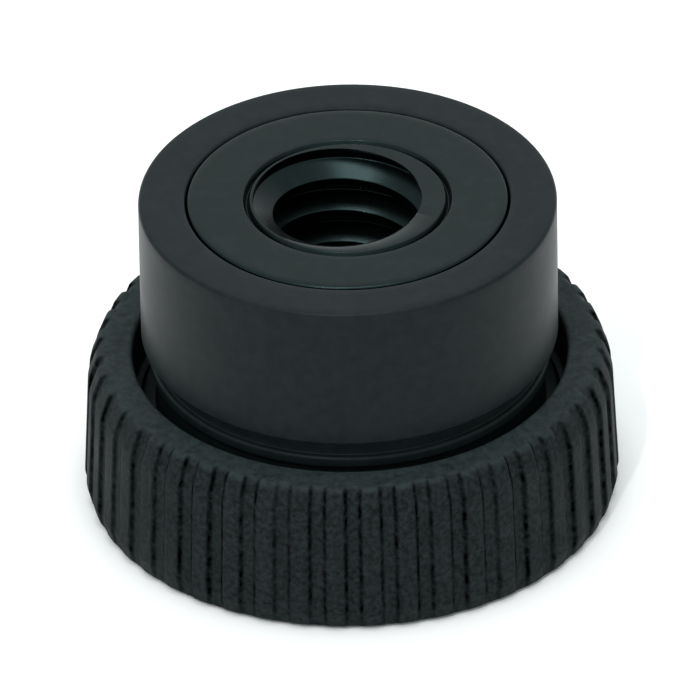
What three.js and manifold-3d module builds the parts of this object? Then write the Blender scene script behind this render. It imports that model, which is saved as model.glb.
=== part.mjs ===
// A knurled thumb nut: a threaded metal bush held in a moulded hub, with a knurled grip ring pressed
// around the hub's foot. Millimetres, +Z up along the thread's axis, origin at the centre of the underside.

import * as THREE from 'three';
import { mergeVertices } from 'three/addons/utils/BufferGeometryUtils.js';
import Module from 'manifold-3d';

const wasm = await Module();
wasm.setup();

// ---- Driving dimensions -------------------------------------------------------------------------------

const nutHeight = 11.4; // underside to the hub's face
const hubDiameter = 14;

const hub = {
  faceEdge: 0.15, // chamfer around the face
  neckDepth: 0.45, // the undercut between the hub's wall and the grip ring
  neckRise: 0.5, // the neck ends this far above the grip ring
  wallEdge: 0.3, // chamfer around the wall's lower end, above the neck
  footReach: 1, // the foot that the grip ring seats on stands this far out of the hub
  footHeight: 1.2,
  splineCount: 24,
  splineReach: 0.35, // how far a spline stands out of the hub
  splineCover: 0.8, // the splines stop this far below the floor of the ring's recess
  splineShare: 0.45, // a spline's width as a share of its spacing
};

const grip = {
  reach: 2, // how far the ribs stand out of the hub, where they are widest
  height: 5.4, // underside of the nut to the top of the ring
  lift: 0.1, // the ring stays this far above the clamping face
  widestHeight: 0.7, // where the softened lower edge ends
  lowerEdge: 0.15, // how far the lower edge is drawn in
  draft: 0.18, // how far the ribs lean in between the two edges
  shoulderHeight: 0.9, // the sloped top edge
  shoulderDepth: 0.34,
  recessDepth: 1.9, // the open groove between ring and hub
  recessWidth: 0.3,
  ribCount: 46,
  ribDepth: 0.14,
  floorLean: 0.3, // how far the grooves' floors lean in, from the widest height to the top
  ribShare: 0.4, // a rib's land and a groove's floor, as shares of their spacing
  floorShare: 0.27,
  ribSpare: 0.06, // the outline that cuts the grooves stands this far out of the ribs
};

// A groove's middle meets the hub's face at the start angle, which is measured from +X.
const thread = { major: 6.35, pitch: 1.27, startAngle: 203, segmentsPerTurn: 24 };

const bush = {
  wall: 2.2, // from the thread's major diameter out to the head
  headHeight: 2.2,
  serrationCount: 24,
  serrationInset: 0.1, // each diameter below the head is set in from it, all round
  serrationDepth: 0.3,
  serrationShare: 0.35,
  waistInset: 0.8, // the neck that stops the bush from pulling out
  waistHeight: 1.8,
  waistBottom: 4.3,
  pilotInset: 0.5, // the plain lower end
  pilotHeight: 1.2,
};

const jointGap = 0.06; // radial clearance between one piece and the piece it sits in
const roundSegments = 72;
const ringSegments = 4 * grip.ribCount;
const overrun = 1; // how far a cutting shape runs past the surface that it opens

// ---- Sizes that follow --------------------------------------------------------------------------------

const hubRadius = hubDiameter / 2;
const gripRadius = hubRadius + grip.reach;
const recessFloor = grip.height - grip.recessDepth;
const neckTop = grip.height + hub.neckRise;
const bushRadius = thread.major / 2 + bush.wall;
// Basic 60 degree form: an eighth of the pitch is flat at the major diameter, and a quarter at the minor.
const threadDepth = (5 / 8) * (Math.sqrt(3) / 2) * thread.pitch;
const threadMinor = thread.major - 2 * threadDepth;

// ---- Shape helpers ------------------------------------------------------------------------------------

// Turns a closed three.js geometry into a solid: equal vertices are merged and empty triangles dropped.
function toSolid(geometry) {
  geometry.deleteAttribute('normal');
  geometry.deleteAttribute('uv');
  const merged = mergeVertices(geometry);
  const corners = merged.index.array;
  const triangles = [];
  for (let at = 0; at < corners.length; at += 3) {
    const [a, b, c] = corners.slice(at, at + 3);
    if (a !== b && b !== c && c !== a) {
      triangles.push(a, b, c);
    }
  }
  const mesh = new wasm.Mesh({
    numProp: 3,
    vertProperties: merged.attributes.position.array,
    triVerts: Uint32Array.from(triangles),
  });
  return new wasm.Manifold(mesh);
}

// Revolves an outline of [radius, height] pairs, which starts and ends on the axis, around +Z.
function revolve(outline, segments) {
  const points = outline.map(([radius, height]) => new THREE.Vector2(radius, height));
  const geometry = new THREE.LatheGeometry(points, segments);
  geometry.rotateX(Math.PI / 2);
  return toSolid(geometry);
}

// A closed outline of equal teeth: a land at the tip radius, then a floor at the root radius.
function toothedShape(count, tipRadius, rootRadius, landAngle, floorAngle) {
  const spacing = (2 * Math.PI) / count;
  const points = [];
  for (let tooth = 0; tooth < count; tooth += 1) {
    const middle = tooth * spacing;
    const corners = [
      [tipRadius, middle - landAngle / 2],
      [tipRadius, middle + landAngle / 2],
      [rootRadius, middle + (spacing - floorAngle) / 2],
      [rootRadius, middle + (spacing + floorAngle) / 2],
    ];
    for (const [radius, angle] of corners) {
      points.push(new THREE.Vector2(radius * Math.cos(angle), radius * Math.sin(angle)));
    }
  }
  return new THREE.Shape(points);
}

// Extrudes a flat shape between two heights. The scale of its upper end makes its sides lean.
function prism(shape, bottom, top, topScale = 1) {
  const geometry = new THREE.ExtrudeGeometry(shape, { depth: top - bottom, bevelEnabled: false });
  const { position } = geometry.attributes;
  for (let at = 0; at < position.count; at += 1) {
    const scale = position.getZ(at) > 0 ? topScale : 1;
    position.setXY(at, position.getX(at) * scale, position.getY(at) * scale);
  }
  geometry.translate(0, 0, bottom);
  return toSolid(geometry);
}

// Straight-sided teeth that grow by a clearance on their tips and flanks.
function teeth(count, tipRadius, rootRadius, share, gap, bottom, top) {
  const spacing = (2 * Math.PI) / count;
  const landAngle = share * spacing + (2 * gap) / tipRadius;
  const floorAngle = spacing - landAngle;
  return prism(toothedShape(count, tipRadius + gap, rootRadius, landAngle, floorAngle), bottom, top);
}

// The space of a right-hand thread: one screw profile that rises by a pitch in each turn. Both ends lie
// outside the nut, where a fan closes each of them.
function screwSpace() {
  const { major, pitch, segmentsPerTurn } = thread;
  const flank = (pitch - pitch / 8 - pitch / 4) / 2;
  const profile = [
    [major / 2, 0],
    [major / 2, pitch / 8],
    [threadMinor / 2, pitch / 8 + flank],
    [threadMinor / 2, pitch / 8 + flank + pitch / 4],
  ];
  const perTurn = profile.length;
  const turnsBelow = Math.ceil((nutHeight + overrun) / pitch) + 2;
  const start = nutHeight - pitch / 16 - turnsBelow * pitch;
  const turns = Math.ceil((nutHeight + overrun - start) / pitch) + 1;
  const last = turns * perTurn;
  const positions = [];
  const triangles = [];
  // The first column runs one pitch further up, because the last column joins it there.
  const columnStart = [];
  for (let column = 0; column < segmentsPerTurn; column += 1) {
    columnStart.push(positions.length / 3);
    const turn = column / segmentsPerTurn;
    const end = column === 0 ? last + perTurn : last;
    for (let row = 0; row <= end; row += 1) {
      const [radius, rise] = profile[row % perTurn];
      const height = start + pitch * (Math.floor(row / perTurn) + turn) + rise;
      positions.push(radius * Math.cos(2 * Math.PI * turn), radius * Math.sin(2 * Math.PI * turn), height);
    }
  }
  const vertex = (column, row) => {
    const wrapped = column === segmentsPerTurn;
    return wrapped ? columnStart[0] + row + perTurn : columnStart[column] + row;
  };
  for (let column = 0; column < segmentsPerTurn; column += 1) {
    for (let row = 0; row < last; row += 1) {
      const a = vertex(column, row);
      const b = vertex(column + 1, row);
      const c = vertex(column + 1, row + 1);
      const d = vertex(column, row + 1);
      triangles.push(a, b, c, a, c, d);
    }
  }
  for (const [row, facesDown] of [[0, true], [last, false]]) {
    const rim = [];
    for (let column = 0; column <= segmentsPerTurn; column += 1) {
      rim.push(vertex(column, row));
    }
    for (let step = perTurn - 1; step >= 0; step -= 1) {
      rim.push(columnStart[0] + row + step);
    }
    const centre = positions.length / 3;
    positions.push(0, 0, start + pitch * (row / perTurn + 1 / 2));
    for (let at = 0; at + 1 < rim.length; at += 1) {
      const pair = facesDown ? [rim[at + 1], rim[at]] : [rim[at], rim[at + 1]];
      triangles.push(centre, ...pair);
    }
  }
  const geometry = new THREE.BufferGeometry();
  geometry.setAttribute('position', new THREE.Float32BufferAttribute(positions, 3));
  geometry.setIndex(triangles);
  geometry.rotateZ(THREE.MathUtils.degToRad(thread.startAngle));
  return toSolid(geometry);
}

// ---- Blanks, each also the shape of the hole that its neighbour leaves for it --------------------------

// The bush without its bore, from the underside up. A clearance above 0 makes it a cutting shape.
function bushBlank(gap) {
  const past = gap > 0 ? overrun : 0;
  const headBottom = nutHeight - bush.headHeight;
  const waistTop = bush.waistBottom + bush.waistHeight;
  const tip = bushRadius - bush.serrationInset;
  const core = tip - bush.serrationDepth;
  const waist = bushRadius - bush.waistInset;
  const pilot = bushRadius - bush.pilotInset;
  const outline = [
    [0, -past],
    [pilot + gap, -past],
    [pilot + gap, bush.pilotHeight],
    [core + gap, bush.pilotHeight],
    [core + gap, bush.waistBottom],
    [waist + gap, bush.waistBottom],
    [waist + gap, waistTop],
    [core + gap, waistTop],
    [core + gap, headBottom],
    [bushRadius + gap, headBottom],
    [bushRadius + gap, nutHeight + past],
    [0, nutHeight + past],
  ];
  let blank = revolve(outline, roundSegments);
  for (const [bottom, top] of [[bush.pilotHeight, bush.waistBottom], [waistTop, headBottom]]) {
    const root = core - bush.serrationDepth;
    blank = blank.add(teeth(bush.serrationCount, tip, root, bush.serrationShare, gap, bottom, top));
  }
  return blank;
}

// The hub without its pocket. Its splines start on the foot, where the grip ring seats. The hole that it
// needs has neither its neck nor its chamfers.
function hubBlank(gap) {
  const past = gap > 0 ? overrun : 0;
  const edge = gap > 0 ? 0 : hub.faceEdge;
  const wallEdge = gap > 0 ? 0 : hub.wallEdge;
  const neck = gap > 0 ? hubRadius : hubRadius - hub.neckDepth;
  const foot = hubRadius + hub.footReach;
  const outline = [
    [0, -past],
    [foot + gap, -past],
    [foot + gap, hub.footHeight],
    [hubRadius + gap, hub.footHeight],
    [hubRadius + gap, recessFloor],
    [neck + gap, recessFloor],
    [neck + gap, neckTop],
    [hubRadius + gap - wallEdge, neckTop],
    [hubRadius + gap, neckTop + wallEdge],
    [hubRadius + gap, nutHeight - edge],
    [hubRadius + gap - edge, nutHeight + past],
    [0, nutHeight + past],
  ];
  const tip = hubRadius + hub.splineReach;
  const root = hubRadius - hub.splineReach;
  const top = recessFloor - hub.splineCover + gap;
  const splines = teeth(hub.splineCount, tip, root, hub.splineShare, gap, hub.footHeight, top);
  return revolve(outline, roundSegments).add(splines);
}

// The grip ring as a disc with a dished top, ribbed around its edge. The grooves lean in more than the
// ribs do, and run out at the top of the shoulder.
function gripBlank() {
  const { height, lift, widestHeight, ribCount, ribDepth, ribSpare } = grip;
  const shoulderRadius = gripRadius - grip.draft;
  const outline = [
    [0, lift],
    [gripRadius - grip.lowerEdge, lift],
    [gripRadius, widestHeight],
    [shoulderRadius, height - grip.shoulderHeight],
    [shoulderRadius - grip.shoulderDepth, height],
    [hubRadius + grip.recessWidth, height],
    [hubRadius + grip.recessWidth, recessFloor],
    [0, recessFloor],
  ];
  const spacing = (2 * Math.PI) / ribCount;
  const land = grip.ribShare * spacing;
  const floor = grip.floorShare * spacing;
  const lean = grip.floorLean / (height - widestHeight);
  const floorRadius = (at) => gripRadius - ribDepth - lean * (at - widestHeight);
  const bottom = lift - overrun;
  const top = height + overrun;
  const root = floorRadius(bottom);
  const ribs = toothedShape(ribCount, root + ribDepth + ribSpare, root, land, floor);
  return revolve(outline, ringSegments).intersect(prism(ribs, bottom, top, floorRadius(top) / root));
}

// ---- Pieces -------------------------------------------------------------------------------------------

// Names a finished solid as a mesh with its own material.
function piece(name, solid, color, roughness, metalness) {
  const { vertProperties, triVerts } = solid.getMesh();
  const geometry = new THREE.BufferGeometry();
  geometry.setAttribute('position', new THREE.BufferAttribute(vertProperties, 3));
  geometry.setIndex(new THREE.BufferAttribute(triVerts, 1));
  geometry.computeVertexNormals();
  const mesh = new THREE.Mesh(geometry, new THREE.MeshStandardMaterial({ color, roughness, metalness }));
  mesh.name = name;
  return mesh;
}

const threadedInsert = bushBlank(0).subtract(screwSpace());
const hubBody = hubBlank(0).subtract(bushBlank(jointGap));
const gripRing = gripBlank().subtract(hubBlank(jointGap));

const nut = new THREE.Group();
nut.add(piece('threaded_insert', threadedInsert, 0x2b3234, 0.35, 0.8));
nut.add(piece('hub_body', hubBody, 0x262d2f, 0.3, 0));
nut.add(piece('grip_ring', gripRing, 0x1e2426, 0.6, 0));

export default nut;
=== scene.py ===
"""Looks for a knurled thumb nut: a threaded metal bush, a moulded hub and a knurled grip ring.

Everything is in metres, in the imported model's own frame: +Z along the thread's axis, origin at the centre
of the underside. Each sub-assembly is a class that builds its mesh from a turned section and dresses it.
"""

import logging
import math
from dataclasses import dataclass

import bpy
import numpy as np
from mathutils import Matrix, Vector


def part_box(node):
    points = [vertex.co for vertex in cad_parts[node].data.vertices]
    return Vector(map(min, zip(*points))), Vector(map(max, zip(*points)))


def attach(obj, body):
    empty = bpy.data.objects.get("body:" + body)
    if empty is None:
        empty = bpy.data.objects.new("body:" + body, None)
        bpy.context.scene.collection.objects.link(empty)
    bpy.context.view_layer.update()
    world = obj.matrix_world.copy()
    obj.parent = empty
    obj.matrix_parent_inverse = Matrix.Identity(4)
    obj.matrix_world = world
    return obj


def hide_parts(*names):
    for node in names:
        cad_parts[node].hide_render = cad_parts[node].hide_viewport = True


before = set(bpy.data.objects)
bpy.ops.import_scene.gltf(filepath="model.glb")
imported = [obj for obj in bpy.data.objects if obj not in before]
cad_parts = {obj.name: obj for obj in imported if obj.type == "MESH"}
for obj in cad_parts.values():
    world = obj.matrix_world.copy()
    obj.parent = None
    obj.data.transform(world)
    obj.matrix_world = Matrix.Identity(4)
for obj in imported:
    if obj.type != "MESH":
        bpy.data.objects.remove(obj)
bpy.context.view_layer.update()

MM = 0.001
TURN = 2 * math.pi
# Name of the mesh attribute that holds painted shade: how far each point is darkened in place of the shade
# in narrow recesses.
PAINTED_SHADE = "painted_shade"
SHADER = "Principled BSDF"
SAME_PLACE = 1e-9
SHARP_ANGLE = math.radians(40)
Socket = bpy.types.NodeSocket
Feed = Socket | float | tuple[float, ...]
Colour = tuple[float, float, float]
Range = tuple[float, float]
UNIT: Range = (0, 1)
log = logging.getLogger("thumb_nut")


# ---- Turned sections ----------------------------------------------------------------------------------


@dataclass(frozen=True)
class Corner:
    """A corner of a turned section.

    Args:
        radius: Distance from the axis.
        height: Distance above the underside.
        fillet: Radius of the arc that rounds the corner; 0 leaves it sharp.
    """

    radius: float
    height: float
    fillet: float = 0.0


def arc(
    here: np.ndarray, before: np.ndarray, after: np.ndarray, radius: float, steps: int
) -> list[np.ndarray]:
    """Gives the arc that rounds one corner of a path.

    Args:
        here: The corner's place.
        before: From the corner to the one before it.
        after: From the corner to the one after it.
        radius: The arc's radius.
        steps: How many chords the arc has.

    Returns:
        The arc's points in order.
    """
    before_unit = before / np.linalg.norm(before)
    after_unit = after / np.linalg.norm(after)
    half = math.acos(float(np.clip(before_unit @ after_unit, -1, 1))) / 2
    reach = radius / math.tan(half)
    middle = (before_unit + after_unit) / np.linalg.norm(before_unit + after_unit)
    centre = here + middle * radius / math.sin(half)
    start = here + before_unit * reach - centre
    end = here + after_unit * reach - centre
    sweep = math.pi - 2 * half
    points: list[np.ndarray] = []
    for chord in range(steps + 1):
        share = chord / steps
        weight_start = math.sin((1 - share) * sweep) / math.sin(sweep)
        weight_end = math.sin(share * sweep) / math.sin(sweep)
        points.append(centre + start * weight_start + end * weight_end)
    return points


def rounded_path(corners: list[Corner], step: float, closed: bool = False, arc_steps: int = 5) -> np.ndarray:
    """Turns corners into a dense path of points, with an arc at each filleted corner.

    Args:
        corners: The path's corners in order.
        step: The longest straight stretch between two points.
        closed: Whether the path runs from its last corner back to its first.
        arc_steps: How many chords an arc has.

    Returns:
        An array of [radius, height] rows. A closed path doesn't repeat its first point.
    """
    places = [np.array([corner.radius, corner.height]) for corner in corners]
    count = len(places)
    path: list[np.ndarray] = []
    for index, corner in enumerate(corners):
        here = places[index]
        inner = closed or 0 < index < count - 1
        if corner.fillet <= 0 or not inner:
            path.append(here)
            continue
        before = places[index - 1] - here
        after = places[(index + 1) % count] - here
        path.extend(arc(here, before, after, corner.fillet, arc_steps))
    dense: list[np.ndarray] = []
    last = len(path) if closed else len(path) - 1
    for index in range(last):
        start, end = path[index], path[(index + 1) % len(path)]
        pieces = max(1, math.ceil(float(np.linalg.norm(end - start)) / step))
        dense.extend(start + (end - start) * piece / pieces for piece in range(pieces))
    if not closed:
        dense.append(path[-1])
    return np.array(dense)


@dataclass(frozen=True)
class Teeth:
    """Straight teeth around a turned piece.

    Args:
        count: Number of teeth.
        land: Width of a tooth's tip as a share of the spacing.
        floor: Width of the groove's floor as a share of the spacing.
    """

    count: int
    land: float
    floor: float

    def groove(self, angles: np.ndarray) -> np.ndarray:
        """Gives how deep the groove is at each angle: 0 on a tip, 1 on a floor, with eased walls.

        Args:
            angles: Angles around the axis.

        Returns:
            A share of the full depth for each angle.
        """
        place = np.abs(((angles * self.count / TURN + 0.5) % 1.0) - 0.5) * 2
        flank = np.clip((place - self.land) / (1 - self.land - self.floor), 0, 1)
        return flank * flank * (3 - 2 * flank)


# ---- Meshes -------------------------------------------------------------------------------------------


def welded(points: np.ndarray, faces: np.ndarray) -> tuple[np.ndarray, list[list[int]]]:
    """Joins points that share a place, and drops the corners and faces that this leaves empty.

    Args:
        points: One row of x, y and z per point.
        faces: One row of four point numbers per face.

    Returns:
        The numbers of the points that remain, and the remaining faces as lists of new point numbers.
    """
    keys = np.round(points / SAME_PLACE).astype(np.int64)
    _, first, number = np.unique(keys, axis=0, return_index=True, return_inverse=True)
    kept: list[list[int]] = []
    for face in number.reshape(-1)[faces].tolist():
        corners = [corner for at, corner in enumerate(face) if corner != face[at - 1]]
        if len(set(corners)) >= 3:
            kept.append(corners)
    return first, kept


def angles_of(columns: int) -> np.ndarray:
    """Gives the angles of evenly spaced sections, starting at +X."""
    return np.arange(columns) * TURN / columns


def all_round(path: np.ndarray, columns: int) -> tuple[np.ndarray, np.ndarray]:
    """Repeats one section for each column: radii and heights by column and row."""
    radii, heights = (np.repeat(path[None, :, part], columns, axis=0) for part in (0, 1))
    return radii, heights


def turned_mesh(
    name: str,
    radii: np.ndarray,
    heights: np.ndarray,
    wrap: np.ndarray | None = None,
    painted_shade: np.ndarray | None = None,
) -> bpy.types.Object:
    """Makes a closed body of revolution from one closed section for each angle.

    Args:
        name: The object's name.
        radii: Radius by column, then by row; each column is the section at one angle.
        heights: Height by column, then by row.
        wrap: For each row of the last column, the row of the first column that it meets.
        painted_shade: By column and row, how much painted shade each point gets, for the finish.

    Returns:
        The new object, linked to the scene and smooth-shaded.
    """
    columns, rows = radii.shape
    angles = angles_of(columns)
    places = np.stack(
        [radii * np.cos(angles)[:, None], radii * np.sin(angles)[:, None], heights], axis=-1
    ).reshape(-1, 3)
    row = np.arange(rows)
    meets = row if wrap is None else wrap
    faces = []
    for column in range(columns):
        last = column == columns - 1
        here = column * rows + row
        beside = meets if last else here + rows
        faces.append(np.stack([here, beside, np.roll(beside, -1), np.roll(here, -1)], axis=1))
    kept, polygons = welded(places, np.concatenate(faces))
    mesh = bpy.data.meshes.new(name)
    mesh.from_pydata(places[kept].tolist(), [], polygons)
    # Painted shade: stores how much each point is darkened, standing in for the shade that falls in narrow
    # recesses.
    if painted_shade is not None:
        layer = mesh.attributes.new(PAINTED_SHADE, "FLOAT", "POINT")
        layer.data.foreach_set("value", painted_shade.reshape(-1)[kept].astype(np.float32))
    mesh.validate()
    mesh.shade_smooth()
    mesh.set_sharp_from_angle(angle=SHARP_ANGLE)
    obj = bpy.data.objects.new(name, mesh)
    bpy.context.scene.collection.objects.link(obj)
    return obj


# ---- Node materials -----------------------------------------------------------------------------------


@dataclass(frozen=True)
class Pattern:
    """A cloudy noise pattern.

    Args:
        scale: Features per metre.
        detail: Number of finer layers.
        rough: Strength of the finer layers.
        spread: The noise values that become 0 and 1 where the pattern is stretched.
    """

    scale: float
    detail: float = 4
    rough: float = 0.6
    spread: Range = (0.3, 0.7)


def opaque(colour: Colour) -> tuple[float, ...]:
    """Adds full opacity to a colour."""
    return (*colour, 1)


class NodeBuilder:
    """Adds nodes to the tree of a material or of the world, and links them."""

    def __init__(self, owner: bpy.types.Material | bpy.types.World, space: str = "Object") -> None:
        """Takes over the owner's node tree.

        Args:
            owner: The material or the world.
            space: The coordinates that the patterns follow.
        """
        owner.use_nodes = True
        self.tree = owner.node_tree
        self.place = self.tree.nodes.new("ShaderNodeTexCoord").outputs[space]

    def feed(self, node: bpy.types.Node, inputs: dict[str | int, Feed]) -> None:
        """Fills a node's inputs: an output is linked, and a constant is set on the input itself.

        Args:
            node: The node.
            inputs: What each input gets, by its name or number.
        """
        for name, value in inputs.items():
            if isinstance(value, Socket):
                self.tree.links.new(value, node.inputs[name])
            else:
                node.inputs[name].default_value = value

    def noise(self, pattern: Pattern) -> Socket:
        """Adds a pattern in the chosen coordinates and gives its plain value."""
        node = self.tree.nodes.new("ShaderNodeTexNoise")
        look = {"Scale": pattern.scale, "Detail": pattern.detail, "Roughness": pattern.rough}
        self.feed(node, {"Vector": self.place, **look})
        return node.outputs["Fac"]

    def ramp(self, value: Socket, source: Range, result: Range = UNIT) -> Socket:
        """Maps a value from one range to another and clamps it.

        Args:
            value: The value to map.
            source: Where the source range starts and ends.
            result: The results at those two values.

        Returns:
            The mapped value.
        """
        node = self.tree.nodes.new("ShaderNodeMapRange")
        ends = dict(zip(("From Min", "From Max", "To Min", "To Max"), (*source, *result)))
        self.feed(node, {"Value": value, **ends})
        return node.outputs["Result"]

    def clouds(self, pattern: Pattern, result: Range = UNIT) -> Socket:
        """Adds a pattern, stretched over its own spread, and maps it to a range."""
        return self.ramp(self.noise(pattern), pattern.spread, result)

    def attribute(self, name: str) -> Socket:
        """Reads a number that the mesh holds at each point."""
        node = self.tree.nodes.new("ShaderNodeAttribute")
        node.attribute_name = name
        return node.outputs["Fac"]

    def math(self, operation: str, *values: Socket | float) -> Socket:
        """Combines values.

        Args:
            operation: The math node's operation.
            values: One or two values, as the operation needs.

        Returns:
            The result.
        """
        node = self.tree.nodes.new("ShaderNodeMath")
        node.operation = operation
        self.feed(node, dict(enumerate(values)))
        return node.outputs["Value"]

    def vector_math(self, operation: str, inputs: dict[str | int, Feed], output: str) -> Socket:
        """Works on a vector.

        Args:
            operation: The vector math node's operation.
            inputs: What each input gets, by its name or number.
            output: Which of the node's outputs to give.

        Returns:
            The output.
        """
        node = self.tree.nodes.new("ShaderNodeVectorMath")
        node.operation = operation
        self.feed(node, inputs)
        return node.outputs[output]

    def part(self, vector: Socket, axis: str) -> Socket:
        """Gives one part of a vector: X, Y or Z."""
        split = self.tree.nodes.new("ShaderNodeSeparateXYZ")
        self.feed(split, {"Vector": vector})
        return split.outputs[axis]

    def blend(self, share: Socket, under: Socket | Colour, over: Colour) -> Socket:
        """Lays one colour over another.

        Args:
            share: How much of the upper colour shows.
            under: The lower colour: an output, or linear red, green and blue.
            over: The upper colour: linear red, green and blue.

        Returns:
            The mixed colour.
        """
        node = self.tree.nodes.new("ShaderNodeMix")
        node.data_type = "RGBA"
        below = under if isinstance(under, Socket) else opaque(under)
        self.feed(node, {"Factor": share, "A": below, "B": opaque(over)})
        return node.outputs["Result"]

    def dim(self, colour: Socket, share: Socket) -> Socket:
        """Scales a colour by a value from 0 to 1."""
        return self.vector_math("SCALE", {0: colour, "Scale": share}, "Vector")

    def bump(self, height: Socket, depth: float, normal: Socket | None = None) -> Socket:
        """Adds a bump of a real depth.

        Args:
            height: Height from 0 to 1.
            depth: What a height of 1 stands for.
            normal: A normal to build on.

        Returns:
            The new normal.
        """
        node = self.tree.nodes.new("ShaderNodeBump")
        self.feed(node, {"Distance": depth, "Height": height})
        if normal is not None:
            self.feed(node, {"Normal": normal})
        return node.outputs["Normal"]

    def facing_up(self) -> Socket:
        """Gives how far the surface faces up: 1 is level."""
        return self.part(self.tree.nodes.new("ShaderNodeNewGeometry").outputs["Normal"], "Z")

    def axis_distance(self) -> Socket:
        """Gives the distance from the thread's axis."""
        flat = self.vector_math("MULTIPLY", {0: self.place, 1: (1, 1, 0)}, "Vector")
        return self.vector_math("LENGTH", {0: flat}, "Value")


@dataclass(frozen=True)
class MouldedPlastic:
    """Black moulded plastic with a skin that runs from smooth to grained.

    Args:
        name: The material's name.
        dark: Colour of the skin, linear.
        light: Colour where the skin is scuffed or chalky, linear.
        gloss: Lowest and highest roughness.
        blotches: Where the skin is light.
        grain: The skin's grain.
        grain_depth: Depth of the grain.
        swell_depth: Depth of the slow waviness under the grain.
        painted_top_light: Colour painted on faces that look up, a painted top light that lightens them as
            light from above would, linear; none leaves them as they are.
        has_painted_shade: Whether the mesh holds painted shade at each point. Narrow corners are painted
            darker and lose their reflection, standing in for the shade that falls there.
        reflect: Specular level; 0.5 is a refractive index of 1.5.
        gloss_patches: Where the skin is rough.
        swell: The slow waviness.
        painted_top_light_patches: Where the painted top light is strong.
        painted_top_light_cover: How much of the painted top light shows where it is weak and where it is
            strong.
        painted_top_light_slopes: How far a face has to look up to get painted top light, and to get all of
            it.
        painted_shade_patches: Where the painted shade counts more.
        painted_shade_strength: How much the painted shade counts, at least and at most.
    """

    name: str
    dark: Colour
    light: Colour
    gloss: Range
    blotches: Pattern
    grain: Pattern
    grain_depth: float
    swell_depth: float
    painted_top_light: Colour | None = None
    has_painted_shade: bool = False
    reflect: float = 0.09
    gloss_patches: Pattern = Pattern(500, 4, 0.55)
    swell: Pattern = Pattern(700, 2, 0.4)
    painted_top_light_patches: Pattern = Pattern(4000, 4, 0.65, (0.36, 0.64))
    painted_top_light_cover: Range = (0.3, 1)
    painted_top_light_slopes: Range = (0.4, 0.95)
    painted_shade_patches: Pattern = Pattern(2600, 3, 0.6, (0.36, 0.64))
    painted_shade_strength: Range = (0.45, 1.25)

    def make(self) -> bpy.types.Material:
        """Builds the material.

        Returns:
            The finished material.
        """
        material = bpy.data.materials.new(self.name)
        nodes = NodeBuilder(material)
        colour = nodes.blend(nodes.clouds(self.blotches), self.dark, self.light)
        reflect: Feed = self.reflect
        # Painted top light: faces that look up are lightened towards a paler colour, in patches, in place of
        # the light that falls on them from above.
        if self.painted_top_light is not None:
            level = nodes.ramp(nodes.facing_up(), self.painted_top_light_slopes)
            top_light_share = nodes.math("MULTIPLY", level, nodes.clouds(self.painted_top_light_patches, self.painted_top_light_cover))
            colour = nodes.blend(top_light_share, colour, self.painted_top_light)
        # Painted shade: darkens the colour and takes away the reflection where the mesh marks a narrow
        # corner, in place of the shade that falls there.
        if self.has_painted_shade:
            strength = nodes.clouds(self.painted_shade_patches, self.painted_shade_strength)
            painted_shade_amount = nodes.math("MULTIPLY", nodes.attribute(PAINTED_SHADE), strength)
            colour = nodes.dim(colour, nodes.ramp(painted_shade_amount, UNIT, (1, 0)))
            reflect = nodes.ramp(painted_shade_amount, UNIT, (self.reflect, 0))
        swell = nodes.bump(nodes.noise(self.swell), self.swell_depth)
        skin = {
            "Base Color": colour,
            "Specular IOR Level": reflect,
            "Roughness": nodes.clouds(self.gloss_patches, self.gloss),
            "Normal": nodes.bump(nodes.noise(self.grain), self.grain_depth, swell),
        }
        nodes.feed(nodes.tree.nodes[SHADER], skin)
        return material


@dataclass(frozen=True)
class BlackOxide:
    """Blackened turned steel, with fine tool marks around the axis.

    Args:
        name: The material's name.
        dark: Colour of the coating, linear.
        bare: Colour where the coating is rubbed, linear.
        gloss: Lowest and highest roughness.
        mark_spacing: Distance between two tool marks.
        mark_depth: Depth of a tool mark and of a pit.
        wear: Where the coating is rubbed.
        gloss_patches: Where the coating is rough.
        pits: The fine pits in it.
    """

    name: str
    dark: Colour
    bare: Colour
    gloss: Range
    mark_spacing: float
    mark_depth: float
    wear: Pattern = Pattern(1400, 5, 0.6, (0.5, 0.8))
    gloss_patches: Pattern = Pattern(900)
    pits: Pattern = Pattern(9000, 3)

    def make(self) -> bpy.types.Material:
        """Builds the material.

        Returns:
            The finished material.
        """
        material = bpy.data.materials.new(self.name)
        nodes = NodeBuilder(material)
        turns = nodes.math("MULTIPLY", nodes.axis_distance(), TURN / self.mark_spacing)
        marks = nodes.ramp(nodes.math("SINE", turns), (-1, 1))
        turned = nodes.bump(marks, self.mark_depth)
        skin = {
            "Metallic": 1,
            "Base Color": nodes.blend(nodes.clouds(self.wear), self.dark, self.bare),
            "Roughness": nodes.clouds(self.gloss_patches, self.gloss),
            "Normal": nodes.bump(nodes.noise(self.pits), self.mark_depth, turned),
        }
        nodes.feed(nodes.tree.nodes[SHADER], skin)
        return material


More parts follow.
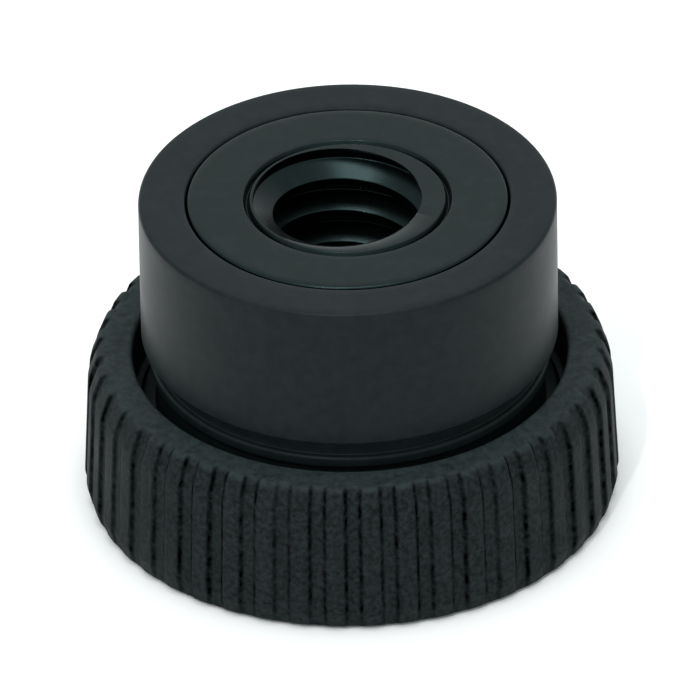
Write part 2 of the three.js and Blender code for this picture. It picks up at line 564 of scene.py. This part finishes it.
HUB_SKIN = MouldedPlastic(
    name="hub_moulded_black",
    dark=(0.0065, 0.0105, 0.0115),
    light=(0.0095, 0.014, 0.015),
    gloss=(0.35, 0.41),
    blotches=Pattern(2500, 3, 0.6, (0.35, 0.65)),
    grain=Pattern(14000),
    grain_depth=0.0006 * MM,
    swell_depth=0.0015 * MM,
)
GRIP_SKIN = MouldedPlastic(
    name="grip_grained_black",
    dark=(0.0028, 0.0046, 0.005),
    light=(0.0125, 0.0182, 0.0192),
    gloss=(0.52, 0.68),
    blotches=Pattern(6000, 3, 0.6, (0.35, 0.65)),
    grain=Pattern(9000),
    grain_depth=0.012 * MM,
    swell_depth=0.01 * MM,
    # Painted top light: the paler colour painted on faces that look up.
    painted_top_light=(0.0225, 0.0318, 0.0328),
    # Painted shade in the grooves between the ribs.
    has_painted_shade=True,
)
BUSH_SKIN = BlackOxide(
    name="bush_black_oxide",
    dark=(0.0131, 0.0205, 0.021),
    bare=(0.019, 0.028, 0.029),
    gloss=(0.24, 0.3),
    mark_spacing=0.07 * MM,
    mark_depth=0.0004 * MM,
)


# ---- Sub-assemblies -----------------------------------------------------------------------------------


@dataclass(frozen=True)
class NutFrame:
    """The sizes that more than one piece needs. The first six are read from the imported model.

    Args:
        height: Height of the whole nut.
        foot_radius: Radius of the hub's foot.
        bush_radius: Radius of the bush's head.
        grip_radius: Radius of the ring at its widest, on a rib.
        grip_bottom: Height of the ring's underside.
        grip_top: Height of the ring's top.
        foot_ledge: How far the foot stands out of the hub's wall.
        foot_height: Height of the foot.
        gap: Clearance between two pieces.
        head_height: Height of the bush's head, measured down from the face.
        tip_inset: From the head's radius in to the tips of the serrations.
        waist_inset: From the head's radius in to the waist.
        waist_top: Height of the waist's upper end.
        waist_bottom: Height of the waist's lower end.
        pilot_inset: From the head's radius in to the plain lower end.
        pilot_height: Height of the plain lower end.
    """

    height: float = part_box("hub_body")[1].z
    foot_radius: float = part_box("hub_body")[1].x
    bush_radius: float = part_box("threaded_insert")[1].x
    grip_radius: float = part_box("grip_ring")[1].x
    grip_bottom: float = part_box("grip_ring")[0].z
    grip_top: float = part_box("grip_ring")[1].z
    foot_ledge: float = 1.0 * MM
    foot_height: float = 1.2 * MM
    gap: float = 0.06 * MM
    head_height: float = 2.2 * MM
    tip_inset: float = 0.1 * MM
    waist_inset: float = 0.8 * MM
    waist_top: float = 6.1 * MM
    waist_bottom: float = 4.3 * MM
    pilot_inset: float = 0.5 * MM
    pilot_height: float = 1.2 * MM

    @property
    def hub_radius(self) -> float:
        """The radius of the hub's wall: the foot's ledge stands out of it."""
        return self.foot_radius - self.foot_ledge

    @property
    def head_bottom(self) -> float:
        """The height of the underside of the bush's head."""
        return self.height - self.head_height


@dataclass
class ThreadedBush:
    """The metal bush: a flush head, a waist, serrations, and a thread that starts right at its faces.

    Args:
        shared: The sizes that the pieces share.
        columns: Sections around the axis.
        major: The thread's major diameter.
        pitch: The thread's pitch.
        thread_start: Angle at which the thread's groove opens on the face.
        thread_round: Rounding of the thread's roots and crests.
        thread_step: Longest stretch between two points of the thread's section.
        scribe_radius: Radius of the turned line around the bore.
        scribe_width: Width of that line.
        scribe_depth: Depth of that line.
        scribe_round: Rounding of its floor.
        thinnest_lip: Thickness below which the first turn's lip starts to be turned away.
        lip_ease: How much thinner the lip is where it is gone.
        edge: Rounding of the plain edges.
        end_edge: Rounding of the outer edges of the two ends.
        core_inset: From the head's radius in to the floors of the serrations.
        step: Longest stretch between two points of the outer section.
        teeth: The serrations.
        skin: The finish.
    """

    shared: NutFrame
    columns: int = 288
    major: float = 6.35 * MM
    pitch: float = 1.27 * MM
    thread_start: float = math.radians(203)
    thread_round: float = 0.05 * MM
    thread_step: float = 0.07 * MM
    scribe_radius: float = 3.38 * MM
    scribe_width: float = 0.24 * MM
    scribe_depth: float = 0.22 * MM
    scribe_round: float = 0.02 * MM
    thinnest_lip: float = 0.66 * MM
    lip_ease: float = 0.4 * MM
    edge: float = 0.04 * MM
    end_edge: float = 0.1 * MM
    core_inset: float = 0.4 * MM
    step: float = 0.25 * MM
    teeth: Teeth = Teeth(24, 0.35, 0.5)
    skin: BlackOxide = BUSH_SKIN

    @property
    def crest(self) -> float:
        """The thread's radius at its crests, by the basic 60 degree form."""
        return self.major / 2 - 5 / 8 * math.sqrt(3) / 2 * self.pitch

    def thread_path(self) -> np.ndarray:
        """Gives one pitch of the thread, going down: rows of radius and drop.

        It is half a root, a flank, a crest, a flank and the other half root, with the basic form's shares.
        """
        root = self.major / 2
        flank = self.pitch * 5 / 16
        drops = np.cumsum([self.pitch / 16, flank, self.pitch / 4, flank])
        turns = [
            Corner(radius, drop, self.thread_round)
            for radius, drop in zip((root, self.crest, self.crest, root), drops)
        ]
        return rounded_path([Corner(root, 0), *turns, Corner(root, self.pitch)], self.thread_step)[:-1]

    def bore(self, angles: np.ndarray) -> tuple[np.ndarray, np.ndarray, int]:
        """Works out the bore's section at each angle, from the upper face down to the lower one.

        Where the first turn's lip under the face would be too thin to stand, it is turned away.

        Args:
            angles: Angles around the axis, one for each column.

        Returns:
            Radii and heights by column and row, and how many rows the thread has in one pitch.
        """
        top = self.shared.height
        path = self.thread_path()
        pitches = math.ceil(top / self.pitch) + 2
        drops = (np.arange(pitches)[:, None] * self.pitch + path[None, :, 1]).reshape(-1)
        lift = (self.pitch * ((angles - self.thread_start) / TURN + 1))[:, None]
        heights = np.clip(top + lift - drops[None, :], 0, top)
        radii = np.interp((top - heights + lift) % self.pitch, path[:, 1], path[:, 0], period=self.pitch)
        lip = self.pitch - lift % self.pitch
        ease = np.clip((self.thinnest_lip - lip) / self.lip_ease, 0, 1)
        in_lip = top - heights < lip
        opened = radii + (self.major / 2 - radii) * ease
        return np.where(in_lip, opened, radii), heights, len(path)

    def outside(self) -> np.ndarray:
        """Gives the section outside the bore: rows of radius and height, from the lower mouth up."""
        shared = self.shared
        top, head = shared.height, shared.bush_radius
        tip, waist = head - shared.tip_inset, head - shared.waist_inset
        pilot = head - shared.pilot_inset
        scribe, half_scribe = self.scribe_radius, self.scribe_width / 2
        corners = [
            Corner(scribe, 0),
            Corner(pilot, 0, self.end_edge),
            Corner(pilot, shared.pilot_height, self.edge),
            Corner(tip, shared.pilot_height, self.edge),
            Corner(tip, shared.waist_bottom, self.edge),
            Corner(waist, shared.waist_bottom, self.edge),
            Corner(waist, shared.waist_top, self.edge),
            Corner(tip, shared.waist_top, self.edge),
            Corner(tip, shared.head_bottom, self.edge),
            Corner(head, shared.head_bottom, self.edge),
            Corner(head, top, self.end_edge),
            Corner(scribe + half_scribe, top, self.edge),
            Corner(scribe, top - self.scribe_depth, self.scribe_round),
            Corner(scribe - half_scribe, top, self.edge),
            Corner(self.major / 2 + self.edge, top),
        ]
        return rounded_path(corners, self.step)

    def toothed(self, radii: np.ndarray, heights: np.ndarray, angles: np.ndarray) -> np.ndarray:
        """Cuts the serrations into the stretches between the pilot and the head.

        Args:
            radii: Radii outside the bore, by column and row.
            heights: Heights, by column and row.
            angles: Angles around the axis, one for each column.

        Returns:
            The radii with the serrations cut.
        """
        shared = self.shared
        tip, core = (shared.bush_radius - inset for inset in (shared.tip_inset, self.core_inset))
        cut = (radii > core) & (radii < tip + self.edge / 2)
        cut &= (heights > shared.pilot_height) & (heights < shared.head_bottom + self.edge / 2)
        return np.where(cut, radii - (radii - core) * self.teeth.groove(angles)[:, None], radii)

    def build(self) -> bpy.types.Object:
        """Builds the mesh.

        Returns:
            The bush.
        """
        angles = angles_of(self.columns)
        outside = self.outside()
        bore_radius, bore_height, per_pitch = self.bore(angles)
        plain_radius, out_height = all_round(outside, self.columns)
        out_radius = self.toothed(plain_radius, out_height, angles)
        radii = np.concatenate([out_radius, bore_radius], axis=1)
        heights = np.concatenate([out_height, bore_height], axis=1)
        rows = np.arange(radii.shape[1])
        wrap = np.where(rows < len(outside), rows, np.maximum(rows - per_pitch, len(outside)))
        return turned_mesh("bush_turned", radii, heights, wrap)

    def dress(self, piece: bpy.types.Object) -> None:
        """Gives the bush its finish and its place in the frame."""
        piece.data.materials.append(self.skin.make())
        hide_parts("threaded_insert")
        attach(piece, "root")


@dataclass
class HubShell:
    """The moulded hub: a smooth cylinder on a foot, with a pocket around the bush.

    Args:
        shared: The sizes that the pieces share.
        columns: Sections around the axis.
        step: Longest stretch between two points of the section.
        face_edge: Rounding of the outer edges of the two faces.
        joint_edge: Rounding of the edges that meet the other pieces.
        neck_depth: From the wall in to the neck.
        neck_bottom: Height of the neck's lower end.
        neck_top: Height of the neck's upper end, where the wall starts.
        bead_bottom: Height of the lower side of the neck's bead.
        bead_top: Height of its upper side.
        bead_depth: How far the bead stands out of the neck.
        neck_corner: Rounding of the neck's inner corners.
        floor_corner: Rounding of the corner at its lower end.
        bead_lower_edge: Rounding of the bead's lower edge.
        bead_upper_edge: Rounding of the bead's upper edge.
        chamfer: Width and height of the chamfer under the wall.
        chamfer_lower_edge: Rounding of the chamfer's lower edge.
        chamfer_upper_edge: Rounding of the chamfer's upper edge.
        skin: The finish.
    """

    shared: NutFrame
    columns: int = 288
    step: float = 0.3 * MM
    face_edge: float = 0.13 * MM
    joint_edge: float = 0.1 * MM
    neck_depth: float = 0.45 * MM
    neck_bottom: float = 3.5 * MM
    neck_top: float = 6.12 * MM
    bead_bottom: float = 5.1 * MM
    bead_top: float = 5.5 * MM
    bead_depth: float = 0.2 * MM
    neck_corner: float = 0.04 * MM
    floor_corner: float = 0.05 * MM
    bead_lower_edge: float = 0.08 * MM
    bead_upper_edge: float = 0.12 * MM
    chamfer: float = 0.12 * MM
    chamfer_lower_edge: float = 0.06 * MM
    chamfer_upper_edge: float = 0.12 * MM
    skin: MouldedPlastic = HUB_SKIN

    def outside(self) -> list[Corner]:
        """Gives the corners of the foot, the neck with its bead, the wall and the face, going up."""
        shared = self.shared
        foot, wall = shared.foot_radius, shared.hub_radius
        neck = wall - self.neck_depth
        bead = neck + self.bead_depth
        return [
            Corner(foot, 0, self.face_edge),
            Corner(foot, shared.foot_height, self.joint_edge),
            Corner(wall, shared.foot_height, self.joint_edge),
            Corner(wall, self.neck_bottom, self.joint_edge),
            Corner(neck, self.neck_bottom, self.floor_corner),
            Corner(neck, self.bead_bottom, self.neck_corner),
            Corner(bead, self.bead_bottom, self.bead_lower_edge),
            Corner(bead, self.bead_top, self.bead_upper_edge),
            Corner(neck, self.bead_top, self.neck_corner),
            Corner(neck, self.neck_top, self.neck_corner),
            Corner(wall - self.chamfer, self.neck_top, self.chamfer_lower_edge),
            Corner(wall, self.neck_top + self.chamfer, self.chamfer_upper_edge),
            Corner(wall, shared.height, self.face_edge),
        ]

    def pocket(self) -> list[Corner]:
        """Gives the corners of the pocket that grips the bush, going down."""
        shared = self.shared
        head = shared.bush_radius + shared.gap
        tip, waist = head - shared.tip_inset, head - shared.waist_inset
        pilot = head - shared.pilot_inset
        return [
            Corner(head, shared.height, self.joint_edge),
            Corner(head, shared.head_bottom),
            Corner(tip, shared.head_bottom),
            Corner(tip, shared.waist_top),
            Corner(waist, shared.waist_top),
            Corner(waist, shared.waist_bottom),
            Corner(tip, shared.waist_bottom),
            Corner(tip, shared.pilot_height),
            Corner(pilot, shared.pilot_height),
            Corner(pilot, 0, self.joint_edge),
        ]

    def build(self) -> bpy.types.Object:
        """Builds the mesh.

        Returns:
            The hub.
        """
        path = rounded_path([*self.outside(), *self.pocket()], self.step, closed=True)
        return turned_mesh("hub_moulded", *all_round(path, self.columns))

    def dress(self, piece: bpy.types.Object) -> None:
        """Gives the hub its finish and its place in the frame."""
        piece.data.materials.append(self.skin.make())
        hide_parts("hub_body")
        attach(piece, "root")


@dataclass
class GripRing:
    """The knurled ring: drafted ribs that run out in a sloped shoulder, and an open recess around the hub.

    Args:
        shared: The sizes that the pieces share.
        samples_per_rib: Sections for each rib.
        ribs: The ribs.
        rib_depth: Usual depth of the grooves between the ribs.
        rib_seed: Seed of the draw that makes the ribs differ.
        rib_spread: Standard deviation of that draw, as a share of the depth.
        rib_limits: Smallest and largest share of the depth.
        wall_painted_shade: How much painted shade darkens the grooves' walls.
        floor_painted_shade: How much painted shade darkens their floors.
        floor_painted_shade: How sheltered their floors are.
        step: Longest stretch between two points of the section.
        arc_steps: Chords in each rounded corner.
        belly_height: Height at which the ring is widest.
        belly_round: Rounding there.
        lower_inset: From the widest radius in to the outer edge of the underside.
        lower_edge: Rounding of that edge.
        seat_edge: Rounding of the underside's inner edge.
        draft: How much the flank leans in from the belly to the shoulder.
        flank_round: Rounding between the flank and the shoulder.
        shoulder_height: From the ring's top down to the shoulder's lower end.
        shoulder_depth: How far the shoulder slopes in.
        shoulder_round: Rounding between the shoulder and the top.
        run_out_start: From the ring's top down to where the grooves start to fade.
        run_out_length: Distance over which they fade.
        recess_depth: Depth of the recess around the hub.
        recess_width: From the hub's wall out to the recess's wall.
        recess_edge: Rounding of the recess's upper edge.
        recess_corner: Rounding of its lower corner.
        bore_edge: Rounding of the edge between its floor and the bore.
        skin: The finish.
    """

    shared: NutFrame
    samples_per_rib: int = 28
    ribs: Teeth = Teeth(46, 0.4, 0.22)
    rib_depth: float = 0.14 * MM
    rib_seed: int = 46
    rib_spread: float = 0.15
    rib_limits: Range = (0.7, 1.3)
    wall_painted_shade: float = 0.85
    floor_painted_shade: float = 0.03
    step: float = 0.08 * MM
    arc_steps: int = 7
    belly_height: float = 0.7 * MM
    belly_round: float = 0.4 * MM
    lower_inset: float = 0.15 * MM
    lower_edge: float = 0.12 * MM
    seat_edge: float = 0.04 * MM
    draft: float = 0.18 * MM
    flank_round: float = 1.6 * MM
    shoulder_height: float = 0.9 * MM
    shoulder_depth: float = 0.34 * MM
    shoulder_round: float = 0.3 * MM
    run_out_start: float = 0.2 * MM
    run_out_length: float = 0.42 * MM
    recess_depth: float = 1.9 * MM
    recess_width: float = 0.3 * MM
    recess_edge: float = 0.16 * MM
    recess_corner: float = 0.1 * MM
    bore_edge: float = 0.05 * MM
    skin: MouldedPlastic = GRIP_SKIN

    def section(self) -> np.ndarray:
        """Gives the ring's closed section through a rib: rows of radius and height."""
        shared = self.shared
        bottom, top, belly = shared.grip_bottom, shared.grip_top, shared.grip_radius
        bore = shared.hub_radius + shared.gap
        foot = shared.foot_radius + shared.gap
        recess, recess_floor = shared.hub_radius + self.recess_width, top - self.recess_depth
        shoulder = belly - self.draft
        corners = [
            Corner(foot, bottom, self.seat_edge),
            Corner(belly - self.lower_inset, bottom, self.lower_edge),
            Corner(belly, self.belly_height, self.belly_round),
            Corner(shoulder, top - self.shoulder_height, self.flank_round),
            Corner(shoulder - self.shoulder_depth, top, self.shoulder_round),
            Corner(recess, top, self.recess_edge),
            Corner(recess, recess_floor, self.recess_corner),
            Corner(bore, recess_floor, self.bore_edge),
            Corner(bore, shared.foot_height),
            Corner(foot, shared.foot_height),
        ]
        return rounded_path(corners, self.step, closed=True, arc_steps=self.arc_steps)

    def groove_reach(self, path: np.ndarray) -> np.ndarray:
        """Gives how much of the grooves' depth each point of the section has.

        Args:
            path: The section's rows of radius and height.

        Returns:
            1 along the ribs, less towards the two ends, and 0 inside the ring.
        """
        shared = self.shared
        radii, heights = path.T
        top = shared.grip_top
        inward = np.clip(shared.grip_radius - self.draft - self.shoulder_depth - radii, 0, None)
        along = heights - (top - self.run_out_start) + inward
        above = np.clip(along / self.run_out_length, 0, 1)
        below = np.clip((heights - shared.grip_bottom) / self.belly_height, 0, 1)
        outside = radii > shared.foot_radius + 2 * shared.gap
        on_top = heights > top - self.recess_edge / 2
        return np.where(outside | on_top, np.sqrt(1 - above * above) * np.sqrt(below), 0)

    def unevenness(self, angles: np.ndarray) -> np.ndarray:
        """Gives how deep the grooves are at each angle, as a share of their usual depth.

        Args:
            angles: Angles around the axis.

        Returns:
            Shares that drift from each half rib to the next.
        """
        knots = 2 * self.ribs.count
        draws = np.random.default_rng(self.rib_seed).standard_normal(knots)
        shares = np.clip(1 + self.rib_spread * draws, *self.rib_limits)
        return np.interp(angles, angles_of(knots), shares, period=TURN)

    def build(self) -> bpy.types.Object:
        """Builds the mesh, with ribs that differ a little from one to the next.

        Returns:
            The grip ring.
        """
        path = self.section()
        ahead = np.roll(path, -1, axis=0) - np.roll(path, 1, axis=0)
        ahead /= np.linalg.norm(ahead, axis=1, keepdims=True)
        angles = angles_of(self.ribs.count * self.samples_per_rib)
        groove = self.ribs.groove(angles)[:, None]
        strength = self.groove_reach(path)[None, :] * self.unevenness(angles)[:, None]
        depth = self.rib_depth * groove * strength
        radii = path[None, :, 0] - depth * ahead[None, :, 1]
        heights = path[None, :, 1] + depth * ahead[None, :, 0]
        # Painted shade: the grooves' walls, and a little of their floors, are painted darker in place of the
        # shade that falls between the ribs.
        wall = 4 * groove * (1 - groove)
        painted_shade = (self.wall_painted_shade * wall + self.floor_painted_shade * groove) * strength
        return turned_mesh("grip_knurled", radii, heights, painted_shade=painted_shade)

    def dress(self, piece: bpy.types.Object) -> None:
        """Gives the ring its finish and its place in the frame."""
        piece.data.materials.append(self.skin.make())
        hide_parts("grip_ring")
        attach(piece, "root")


# ---- Studio -------------------------------------------------------------------------------------------


@dataclass(frozen=True)
class Softbox:
    """A square area light that looks at the nut.

    Args:
        name: The light's name.
        azimuth: Degrees around the nut; 0 is the camera's side and 90 its right.
        elevation: Degrees above the floor.
        size: Edge length.
        power: Watts.
        distance: Distance from the nut.
    """

    name: str
    azimuth: float
    elevation: float
    size: float
    power: float
    distance: float = 0.7

    def hang(self) -> None:
        """Adds the light to the scene."""
        light = bpy.data.lights.new(self.name, "AREA")
        light.size = self.size
        light.energy = self.power
        lamp = bpy.data.objects.new(self.name, light)
        around, above = math.radians(self.azimuth), math.radians(self.elevation)
        level = math.cos(above)
        out = Vector((math.sin(around) * level, -math.cos(around) * level, math.sin(above)))
        lamp.location = out * self.distance
        lamp.rotation_mode = "QUATERNION"
        lamp.rotation_quaternion = out.to_track_quat("Z", "Y")
        lamp.visible_camera = False
        bpy.context.scene.collection.objects.link(lamp)


@dataclass
class Studio:
    """The floor, the light and the camera.

    Args:
        shared: The sizes that the pieces share.
        floor_sides: Sides of the round floor.
        floor_radius: The floor's radius.
        floor_tone: Its colour, linear.
        floor_roughness: Its roughness.
        floor_reflect: Its specular level.
        sky_tone: Colour of the light from all round, linear.
        sky_turn: How far to the side that light starts to fade, and where it is faintest; 1 is right beside.
        sky_strength: Its strength before it fades and where it is faintest.
        elevation: Angle at which the camera looks down.
        roll: How far the camera is tilted.
        distance: From the camera to the nut.
        view_width: Width of the view at the nut.
        aim_below: How far below the nut's middle the camera aims.
        sensor_width: The camera's sensor, in millimetres.
        clip: The nearest and the farthest distance that the camera sees.
        lamps: The lamps.
    """

    shared: NutFrame
    floor_sides: int = 96
    floor_radius: float = 0.9
    floor_tone: Colour = (0.9, 0.9, 0.9)
    floor_roughness: float = 0.7
    floor_reflect: float = 0.2
    sky_tone: Colour = (0.94, 1, 1)
    sky_turn: Range = (0.3, 0.95)
    sky_strength: Range = (1.08, 0.7)
    elevation: float = math.radians(34.2)
    roll: float = math.radians(0.95)
    distance: float = 0.6
    view_width: float = 23.5 * MM
    aim_below: float = 0.36 * MM
    sensor_width: float = 36
    clip: Range = (0.01, 5)
    lamps: tuple[Softbox, ...] = (
        Softbox("overhead", 0, 86, 0.32, 1.6),
        Softbox("left", -70, 40, 0.4, 0.3),
        Softbox("spark", -20, 52, 0.02, 0.9),
    )

    def floor(self) -> None:
        """Makes the plain pale floor."""
        bpy.ops.mesh.primitive_circle_add(
            vertices=self.floor_sides, radius=self.floor_radius, fill_type="NGON"
        )
        floor = bpy.context.object
        floor.name = "floor"
        material = bpy.data.materials.new("pale_floor")
        nodes = NodeBuilder(material)
        skin = {
            "Base Color": opaque(self.floor_tone),
            "Roughness": self.floor_roughness,
            "Specular IOR Level": self.floor_reflect,
        }
        nodes.feed(nodes.tree.nodes[SHADER], skin)
        floor.data.materials.append(material)

    def light(self) -> None:
        """Lights the stage softly from all round, less from the two sides, and hangs the lamps."""
        world = bpy.data.worlds.new("studio")
        bpy.context.scene.world = world
        nodes = NodeBuilder(world, "Generated")
        aside = nodes.math("ABSOLUTE", nodes.part(nodes.place, "X"))
        strength = nodes.ramp(aside, self.sky_turn, self.sky_strength)
        sky = {"Color": opaque(self.sky_tone), "Strength": strength}
        nodes.feed(nodes.tree.nodes["Background"], sky)
        for lamp in self.lamps:
            lamp.hang()
        bpy.context.scene.view_settings.view_transform = "Standard"

    def camera(self) -> None:
        """Places the camera in front, above and slightly tilted."""
        data = bpy.data.cameras.new("camera")
        data.sensor_width = self.sensor_width
        data.lens = self.sensor_width * self.distance / self.view_width
        data.clip_start, data.clip_end = self.clip
        camera = bpy.data.objects.new("camera", data)
        back = Vector((0, -math.cos(self.elevation), math.sin(self.elevation)))
        up = Vector((0, math.sin(self.elevation), math.cos(self.elevation)))
        target = Vector((0, 0, self.shared.height / 2)) - up * self.aim_below
        camera.location = target + back * self.distance
        camera.rotation_mode = "QUATERNION"
        aim = back.to_track_quat("Z", "Y").to_matrix().to_4x4() @ Matrix.Rotation(-self.roll, 4, "Z")
        camera.rotation_quaternion = aim.to_quaternion()
        bpy.context.scene.collection.objects.link(camera)
        bpy.context.scene.camera = camera

    def set_up(self) -> None:
        """Builds the whole studio."""
        self.floor()
        self.light()
        self.camera()


def main() -> None:
    """Builds and dresses the pieces in order."""
    logging.basicConfig(level=logging.INFO, format="%(name)s: %(message)s")
    shared = NutFrame()
    Studio(shared).set_up()
    for part in (ThreadedBush(shared), HubShell(shared), GripRing(shared)):
        piece = part.build()
        part.dress(piece)
        log.info("%s: %d faces", piece.name, len(piece.data.polygons))


if __name__ == "__main__":
    main()
